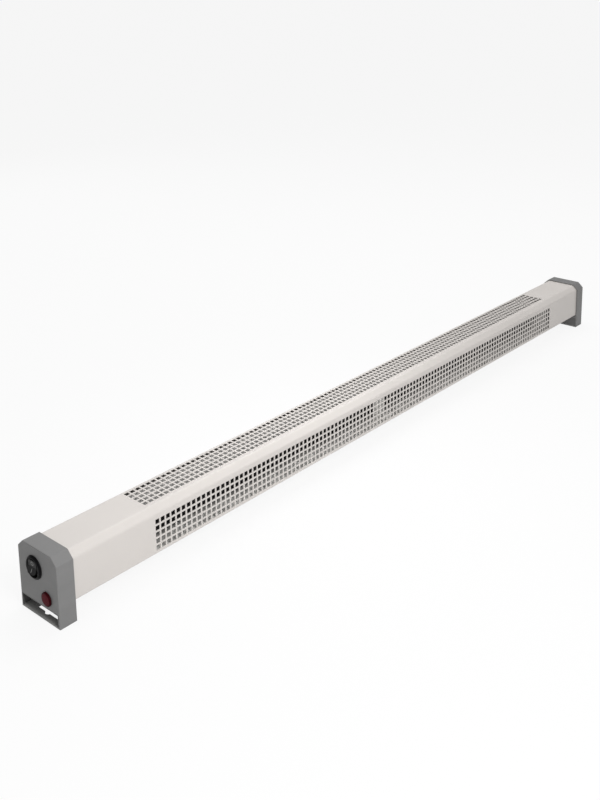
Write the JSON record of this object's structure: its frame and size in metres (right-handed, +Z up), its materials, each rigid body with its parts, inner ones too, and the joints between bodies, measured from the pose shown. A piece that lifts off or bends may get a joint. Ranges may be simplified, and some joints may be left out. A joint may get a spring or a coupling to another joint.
{
  "type": "plinth heater",
  "caption": "Long low plinth heater: a perforated sheet casing on two moulded end caps with keyhole feet, a finned heating bar inside, and a rocker switch and indicator lamp in one end.",
  "frame": {"origin": "on the floor, below the middle of the whole object", "axes": "+X along the heater, away from the switch end; -Y towards the room, through the perforated front; +Z up"},
  "size_m": [1.0428, 0.06, 0.0715],
  "materials": {
    "grey_plastic": "fine moulded texture, satin",
    "casing_paint": "warm light grey powder coat",
    "galvanised": "galvanised sheet",
    "black_plastic": "glossy",
    "red_plastic": "glossy, translucent",
    "black_aluminium": "black coated",
    "plated_steel": "plated",
    "brass": "plain",
    "ceramic": "pale fired ceramic",
    "lamp_glass": "clear",
    "rubber": "matt",
    "brown_wire": "insulated wire",
    "blue_wire": "insulated wire",
    "earth_wire": "green and yellow insulated wire"
  },
  "bodies": {
    "heater": {"left_end_cap": "grey_plastic", "right_end_cap": "grey_plastic", "left_cap_screw": "plated_steel", "right_cap_screw": "plated_steel", "casing_shell": "casing_paint", "bottom_cover": "galvanised", "cover_screw_front_1": "plated_steel", "cover_screw_back_1": "plated_steel", "cover_screw_front_2": "plated_steel", "cover_screw_back_2": "plated_steel", "cover_screw_front_3": "plated_steel", "cover_screw_back_3": "plated_steel", "switch_housing": "black_plastic", "common_terminal": "brass", "load_terminal": "brass", "lamp_lens": "red_plastic", "lamp_nut": "galvanised", "neon_bulb": "lamp_glass", "lamp_resistor": "ceramic", "element_tube": "plated_steel", "finned_bar": "black_aluminium", "left_element_bush": "ceramic", "right_element_bush": "ceramic", "left_terminal_stud": "plated_steel", "right_terminal_stud": "plated_steel", "left_bracket": "galvanised", "right_bracket": "galvanised", "left_bracket_rivet": "plated_steel", "right_bracket_rivet": "plated_steel", "middle_support": "galvanised", "support_rivet_front": "plated_steel", "support_rivet_back": "plated_steel", "overheat_cutout": "black_plastic", "cutout_rivet_front": "plated_steel", "cutout_rivet_back": "plated_steel", "block_insert_live": "brass", "block_insert_neutral": "brass", "block_insert_earth": "brass", "terminal_block": "ceramic", "earth_tag": "brass", "earth_screw": "plated_steel", "live_wire": "brown_wire", "switched_wire": "brown_wire", "element_feed_wire": "brown_wire", "neutral_wire": "blue_wire", "lamp_live_wire": "brown_wire", "lamp_neutral_wire": "blue_wire", "earth_wire": "earth_wire", "inlet_grommet": "rubber"},
    "rocker": {"switch_rocker": "black_plastic", "rocker_plunger": "ceramic", "plunger_spring": "plated_steel"},
    "lever": {"contact_lever": "brass"}
  },
  "joints": [
    {"name": "rocker_tilt", "type": "hinge", "parent": "heater", "child": "rocker", "pos_m": [-0.51214, 0.0047, 0.0506], "axis": [0, -1, 0], "range_deg": [0, 20]},
    {"name": "lever_tilt", "type": "hinge", "parent": "heater", "child": "lever", "pos_m": [-0.50404, 0.0047, 0.0506], "axis": [0, 1, 0], "range_deg": [0, 16]}
  ],
  "couplings": [
    {"joint": "lever_tilt", "follows": "rocker_tilt", "ratio": 0.8}
  ]
}
